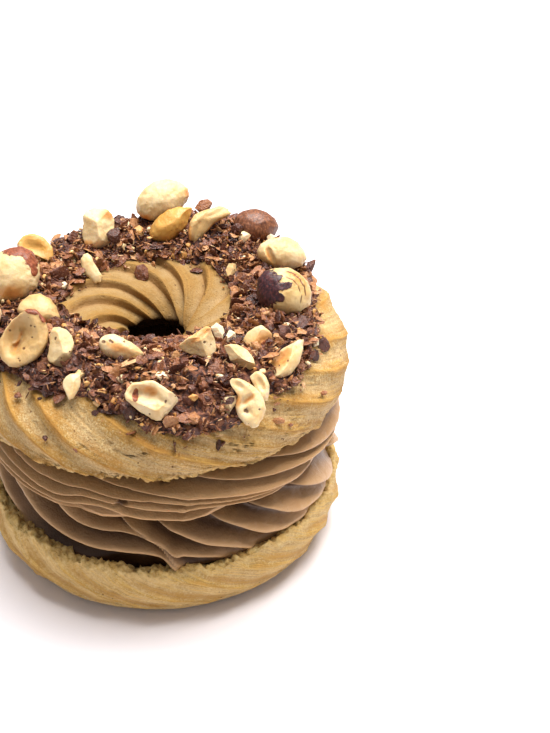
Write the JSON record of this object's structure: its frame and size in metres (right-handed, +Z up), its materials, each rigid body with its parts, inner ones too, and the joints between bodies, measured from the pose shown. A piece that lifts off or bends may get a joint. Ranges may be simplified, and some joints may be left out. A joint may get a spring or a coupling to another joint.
{
  "type": "paris brest pastry",
  "caption": "Ring of piped choux pastry, cut level, filled with folded praline cream and topped with praline crumble and pieces of hazelnut; a single portion to eat.",
  "frame": {"origin": "centre of the ring at its flat underside", "axes": "+Z up along the ring's axis, the crumble on top; -Y is the side that is seen in front"},
  "size_m": [0.09, 0.0896, 0.0761],
  "materials": {
    "baked_choux": "dry, finely pitted golden crust",
    "praline_cream": "smooth, softly shining cream",
    "praline_crumble": "rough crumbs with small glints",
    "hazelnut": "smooth, waxy",
    "hazelnut_skin": "smooth, satin"
  },
  "bodies": {
    "root": {"base_choux": "baked_choux", "lid_choux": "baked_choux", "praline_cream": "praline_cream", "praline_crumble": "praline_crumble", "nut_whole_back": "hazelnut", "nut_half_golden": "hazelnut", "nut_crescent_back": "hazelnut", "nut_skin_on": "hazelnut_skin", "nut_whole_right": "hazelnut", "nut_whole_dark": "hazelnut", "nut_whole_patch": "hazelnut", "nut_half_left": "hazelnut", "nut_half_hollow": "hazelnut", "nut_chunk_left": "hazelnut", "nut_round_left": "hazelnut", "nut_sliver_inner": "hazelnut", "nut_chunk_back": "hazelnut", "nut_buried_front": "hazelnut", "nut_toasted_chunk": "hazelnut", "nut_pale_half": "hazelnut", "nut_buried_right": "hazelnut", "nut_teardrop": "hazelnut", "nut_hollow_slab": "hazelnut", "nut_crescent_front": "hazelnut", "nut_chip_front": "hazelnut", "nut_wedge_left": "hazelnut", "nut_chunk_side": "hazelnut", "nut_chip_rear": "hazelnut", "nut_sliver_rear": "hazelnut"}
  },
  "joints": []
}
